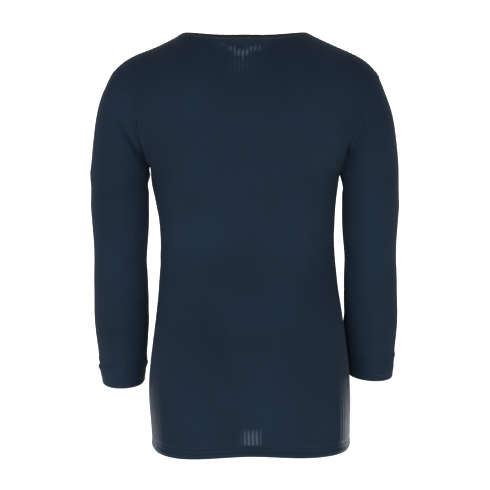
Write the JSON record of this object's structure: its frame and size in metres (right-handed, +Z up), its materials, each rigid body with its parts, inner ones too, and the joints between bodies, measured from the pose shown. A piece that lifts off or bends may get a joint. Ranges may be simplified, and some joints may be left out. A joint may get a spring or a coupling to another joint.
{
  "type": "long-sleeved thermal top",
  "caption": "Hollow long-sleeved rib-knit thermal top in its worn form, with a bound crew neck, a turned hem and gathered cuffs, arms hanging at the sides.",
  "frame": {"origin": "midway between the two points where the shoulder seams meet the neck edge, where the wearer's shoulders hold the top up", "axes": "+Z up, +X towards the wearer's right, +Y towards the wearer's front"},
  "size_m": [0.5424, 0.2356, 0.734],
  "materials": {
    "rib_knit": "matt navy rib knit",
    "cuff_knit": "matt navy rib knit, two layers",
    "binding_knit": "matt dark navy knit tape"
  },
  "bodies": {
    "root": {"back_panel": "rib_knit", "front_panel": "rib_knit", "left_sleeve": "rib_knit", "right_sleeve": "rib_knit", "left_cuff": "cuff_knit", "right_cuff": "cuff_knit", "neck_binding": "binding_knit"}
  },
  "joints": []
}
